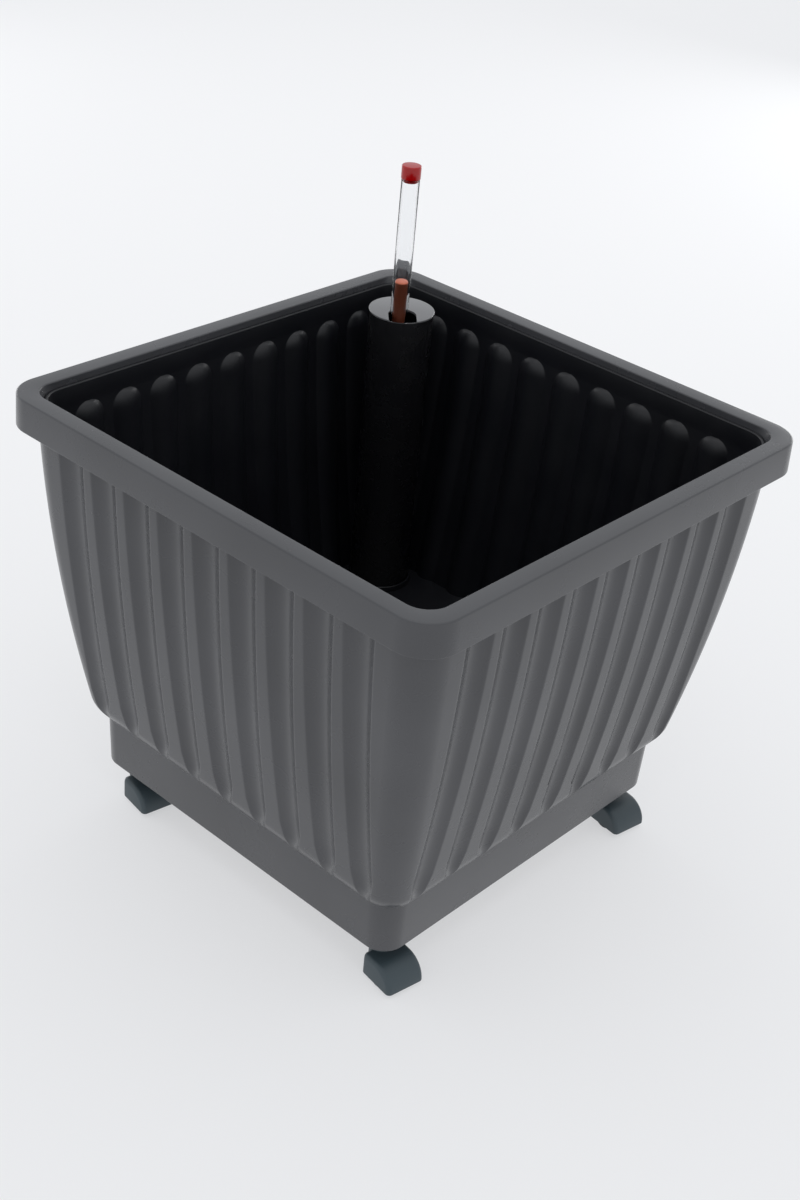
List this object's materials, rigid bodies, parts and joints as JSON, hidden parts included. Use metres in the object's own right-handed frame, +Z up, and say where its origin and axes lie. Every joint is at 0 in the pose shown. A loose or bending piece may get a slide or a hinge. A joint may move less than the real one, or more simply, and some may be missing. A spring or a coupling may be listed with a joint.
{
  "type": "self watering planter",
  "caption": "Square fluted self-watering planter on swivel casters, with a lift-out liner over a water reservoir, wicking cups, and a corner filler shaft with a float gauge.",
  "frame": {"origin": "centre of the footprint, on the floor plane under the wheels", "axes": "+Z up; +X and +Y along the pot's sides; the filler shaft stands in the -X +Y corner; the overflow slits are on the +X side"},
  "size_m": [0.4, 0.4, 0.464],
  "materials": {
    "pot_plastic": "satin moulded grey",
    "liner_plastic": "matt black",
    "shaft_plastic": "gloss black",
    "lid_plastic": "gloss black",
    "clear_plastic": "clear tube",
    "cap_plastic": "gloss red",
    "rod_plastic": "translucent orange red",
    "float_foam": "white foam",
    "socket_plastic": "black",
    "spring_steel": "spring steel",
    "steel": "plated steel",
    "hood_plastic": "slate, semi gloss",
    "wheel_plastic": "dark grey"
  },
  "bodies": {
    "pot": {"outer_pot": "pot_plastic", "caster_socket_1": "socket_plastic", "caster_socket_2": "socket_plastic", "caster_socket_3": "socket_plastic", "caster_socket_4": "socket_plastic", "grip_ring_1": "spring_steel", "grip_ring_2": "spring_steel", "grip_ring_3": "spring_steel", "grip_ring_4": "spring_steel"},
    "liner_set": {"liner": "liner_plastic", "soil_cup_1": "liner_plastic", "soil_cup_2": "liner_plastic", "soil_cup_3": "liner_plastic", "filler_shaft": "shaft_plastic", "gauge_tube": "clear_plastic", "gauge_cap": "cap_plastic", "gauge_foot": "shaft_plastic"},
    "lid": {"shaft_lid": "lid_plastic"},
    "float": {"float_rod": "rod_plastic", "float_body": "float_foam"},
    "caster_1": {"caster_hood_1": "hood_plastic", "caster_stem_1": "steel", "caster_axle_1": "steel"},
    "wheel_a_1": {"wheel_a_1": "wheel_plastic"},
    "wheel_b_1": {"wheel_b_1": "wheel_plastic"},
    "caster_2": {"caster_hood_2": "hood_plastic", "caster_stem_2": "steel", "caster_axle_2": "steel"},
    "wheel_a_2": {"wheel_a_2": "wheel_plastic"},
    "wheel_b_2": {"wheel_b_2": "wheel_plastic"},
    "caster_3": {"caster_hood_3": "hood_plastic", "caster_stem_3": "steel", "caster_axle_3": "steel"},
    "wheel_a_3": {"wheel_a_3": "wheel_plastic"},
    "wheel_b_3": {"wheel_b_3": "wheel_plastic"},
    "caster_4": {"caster_hood_4": "hood_plastic", "caster_stem_4": "steel", "caster_axle_4": "steel"},
    "wheel_a_4": {"wheel_a_4": "wheel_plastic"},
    "wheel_b_4": {"wheel_b_4": "wheel_plastic"}
  },
  "joints": [
    {"name": "liner_lift", "type": "slide", "parent": "pot", "child": "liner_set", "axis": [0, 0, 1], "range_m": [0, 0.31]},
    {"name": "lid_lift", "type": "slide", "parent": "liner_set", "child": "lid", "axis": [0, 0, 1], "range_m": [0, 0.127]},
    {"name": "float_rise", "type": "slide", "parent": "liner_set", "child": "float", "axis": [0, 0, 1], "range_m": [0, 0.042]},
    {"name": "caster_1_swivel", "type": "hinge", "parent": "pot", "child": "caster_1", "pos_m": [0.131, -0.131, 0.023], "axis": [0, 0, 1], "continuous": true},
    {"name": "wheel_a_1_spin", "type": "hinge", "parent": "caster_1", "child": "wheel_a_1", "pos_m": [0.14428, -0.1331, 0.0094], "axis": [0.1564, 0.9877, 0], "continuous": true},
    {"name": "wheel_b_1_spin", "type": "hinge", "parent": "caster_1", "child": "wheel_b_1", "pos_m": [0.14428, -0.1331, 0.0094], "axis": [0.1564, 0.9877, 0], "continuous": true},
    {"name": "caster_2_swivel", "type": "hinge", "parent": "pot", "child": "caster_2", "pos_m": [-0.131, -0.131, 0.023], "axis": [0, 0, 1], "continuous": true},
    {"name": "wheel_a_2_spin", "type": "hinge", "parent": "caster_2", "child": "wheel_a_2", "pos_m": [-0.11772, -0.1331, 0.0094], "axis": [0.1564, 0.9877, 0], "continuous": true},
    {"name": "wheel_b_2_spin", "type": "hinge", "parent": "caster_2", "child": "wheel_b_2", "pos_m": [-0.11772, -0.1331, 0.0094], "axis": [0.1564, 0.9877, 0], "continuous": true},
    {"name": "caster_3_swivel", "type": "hinge", "parent": "pot", "child": "caster_3", "pos_m": [-0.131, 0.131, 0.023], "axis": [0, 0, 1], "continuous": true},
    {"name": "wheel_a_3_spin", "type": "hinge", "parent": "caster_3", "child": "wheel_a_3", "pos_m": [-0.11772, 0.1289, 0.0094], "axis": [0.1564, 0.9877, 0], "continuous": true},
    {"name": "wheel_b_3_spin", "type": "hinge", "parent": "caster_3", "child": "wheel_b_3", "pos_m": [-0.11772, 0.1289, 0.0094], "axis": [0.1564, 0.9877, 0], "continuous": true},
    {"name": "caster_4_swivel", "type": "hinge", "parent": "pot", "child": "caster_4", "pos_m": [0.131, 0.131, 0.023], "axis": [0, 0, 1], "continuous": true},
    {"name": "wheel_a_4_spin", "type": "hinge", "parent": "caster_4", "child": "wheel_a_4", "pos_m": [0.14428, 0.1289, 0.0094], "axis": [0.1564, 0.9877, 0], "continuous": true},
    {"name": "wheel_b_4_spin", "type": "hinge", "parent": "caster_4", "child": "wheel_b_4", "pos_m": [0.14428, 0.1289, 0.0094], "axis": [0.1564, 0.9877, 0], "continuous": true}
  ]
}
